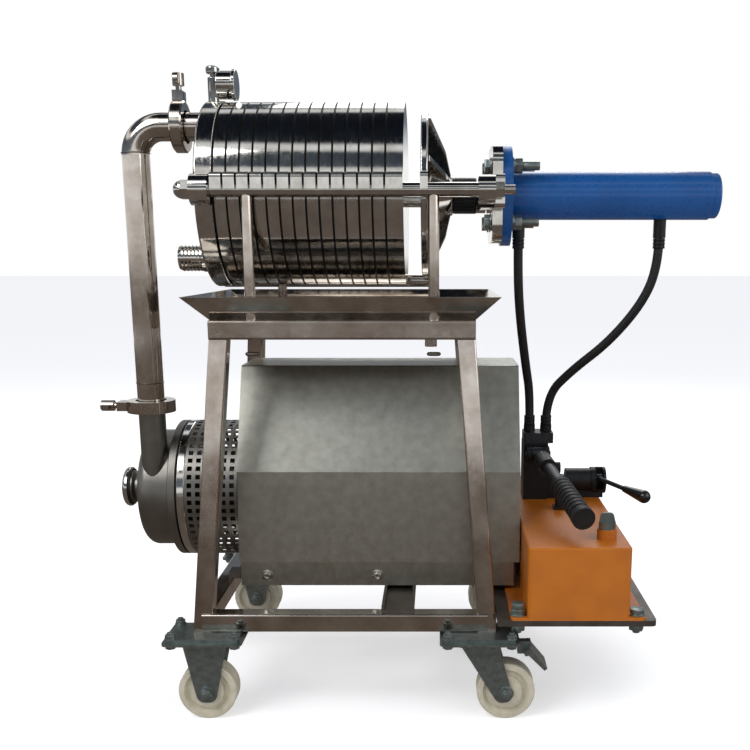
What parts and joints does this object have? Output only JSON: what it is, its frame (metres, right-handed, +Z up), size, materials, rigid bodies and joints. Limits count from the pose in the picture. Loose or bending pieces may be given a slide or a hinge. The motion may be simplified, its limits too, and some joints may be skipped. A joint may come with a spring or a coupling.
{
  "type": "plate filter press",
  "caption": "Round plate filter press on a castered trolley, closed by a hand-pumped hydraulic ram, with a sanitary feed pump piped to its head plate.",
  "frame": {"origin": "On the floor under the middle of the trolley's frame.", "axes": "+X runs along the tie rods from the head plate to the ram's cylinder, +Y to the back, +Z up."},
  "size_m": [0.8935, 0.456, 0.8861],
  "materials": {
    "polished_stainless_steel": "polished stainless steel",
    "brushed_stainless_steel": "brushed stainless steel",
    "zinc_plated_steel": "zinc-plated steel",
    "black_rubber": "black rubber",
    "blue_paint": "blue paint",
    "orange_paint": "orange paint",
    "blackened_steel": "blackened steel",
    "black_plastic": "black plastic",
    "ivory_nylon": "ivory nylon"
  },
  "bodies": {
    "frame": {"back_bar": "polished_stainless_steel", "back_plate": "brushed_stainless_steel", "base_cross_rails": "brushed_stainless_steel", "base_long_rails": "brushed_stainless_steel", "casing_seal": "black_rubber", "caster_plates": "zinc_plated_steel", "cover_base": "brushed_stainless_steel", "crosshead": "brushed_stainless_steel", "cylinder_barrel": "blue_paint", "cylinder_flange": "blue_paint", "drip_tray": "brushed_stainless_steel", "end_plate": "polished_stainless_steel", "feed_stub": "brushed_stainless_steel", "filler_cap": "polished_stainless_steel", "filler_neck": "orange_paint", "filter_plates": "polished_stainless_steel", "head_plate": "brushed_stainless_steel", "hose_1": "black_rubber", "hose_2": "black_rubber", "hose_fittings": "zinc_plated_steel", "inlet_cap": "brushed_stainless_steel", "legs": "brushed_stainless_steel", "motor_bearers": "brushed_stainless_steel", "motor_cover": "brushed_stainless_steel", "motor_guard": "brushed_stainless_steel", "outlet_block": "blackened_steel", "outlet_nozzle": "polished_stainless_steel", "pipe_clamps": "brushed_stainless_steel", "plate_gaskets": "black_rubber", "pump_adapter": "brushed_stainless_steel", "pump_body": "blackened_steel", "pump_casing": "brushed_stainless_steel", "pump_outlet": "polished_stainless_steel", "pump_shelf": "brushed_stainless_steel", "pump_tank": "orange_paint", "rigid_forks": "zinc_plated_steel", "riser_pipe": "brushed_stainless_steel", "rod_nuts": "polished_stainless_steel", "rod_posts": "brushed_stainless_steel", "tank_breather": "blackened_steel", "tank_feet": "orange_paint", "tie_rods": "polished_stainless_steel", "top_cross_rails": "brushed_stainless_steel", "top_long_rails": "brushed_stainless_steel", "valve_block": "blackened_steel", "vent_valve": "polished_stainless_steel"},
    "press": {"press_plate": "brushed_stainless_steel", "ram": "blackened_steel"},
    "hand_lever": {"pump_lever": "blackened_steel", "lever_grip": "black_rubber"},
    "valve_lever": {"valve_lever": "blackened_steel", "valve_knob": "black_plastic"},
    "fork_front": {"swivel_fork_front": "zinc_plated_steel"},
    "fork_back": {"swivel_fork_back": "zinc_plated_steel"},
    "brake_front": {"brake_pedal_front": "zinc_plated_steel"},
    "brake_back": {"brake_pedal_back": "zinc_plated_steel"},
    "wheel_lf": {"wheel_left_front": "ivory_nylon"},
    "wheel_lb": {"wheel_left_back": "ivory_nylon"},
    "wheel_rf": {"wheel_right_front": "ivory_nylon"},
    "wheel_rb": {"wheel_right_back": "ivory_nylon"}
  },
  "joints": [
    {"name": "press_slide", "type": "slide", "parent": "frame", "child": "press", "axis": [1, 0, 0], "range_m": [-0.022, 0.01]},
    {"name": "hand_lever_hinge", "type": "hinge", "parent": "frame", "child": "hand_lever", "pos_m": [0.283, 0.033, 0.326], "axis": [1, 0, 0], "range_deg": [-50, 3]},
    {"name": "valve_lever_hinge", "type": "hinge", "parent": "frame", "child": "valve_lever", "pos_m": [0.384, 0.058, 0.282], "axis": [1, 0, 0], "range_deg": [-12, 12]},
    {"name": "swivel_front", "type": "hinge", "parent": "frame", "child": "fork_front", "pos_m": [0.184, -0.188, 0.1], "axis": [0, 0, 1], "continuous": true},
    {"name": "spin_right_front", "type": "hinge", "parent": "fork_front", "child": "wheel_rf", "pos_m": [0.221, -0.188, 0.04], "axis": [0, 1, 0], "continuous": true},
    {"name": "brake_front", "type": "hinge", "parent": "fork_front", "child": "brake_front", "pos_m": [0.248, -0.188, 0.097], "axis": [0, 1, 0], "range_deg": [-8, 0]},
    {"name": "spin_left_front", "type": "hinge", "parent": "frame", "child": "wheel_lf", "pos_m": [-0.19, -0.188, 0.04], "axis": [0, 1, 0], "continuous": true},
    {"name": "swivel_back", "type": "hinge", "parent": "frame", "child": "fork_back", "pos_m": [0.184, 0.188, 0.1], "axis": [0, 0, 1], "continuous": true},
    {"name": "spin_right_back", "type": "hinge", "parent": "fork_back", "child": "wheel_rb", "pos_m": [0.221, 0.188, 0.04], "axis": [0, 1, 0], "continuous": true},
    {"name": "brake_back", "type": "hinge", "parent": "fork_back", "child": "brake_back", "pos_m": [0.248, 0.188, 0.097], "axis": [0, 1, 0], "range_deg": [-8, 0]},
    {"name": "spin_left_back", "type": "hinge", "parent": "frame", "child": "wheel_lb", "pos_m": [-0.19, 0.188, 0.04], "axis": [0, 1, 0], "continuous": true}
  ]
}
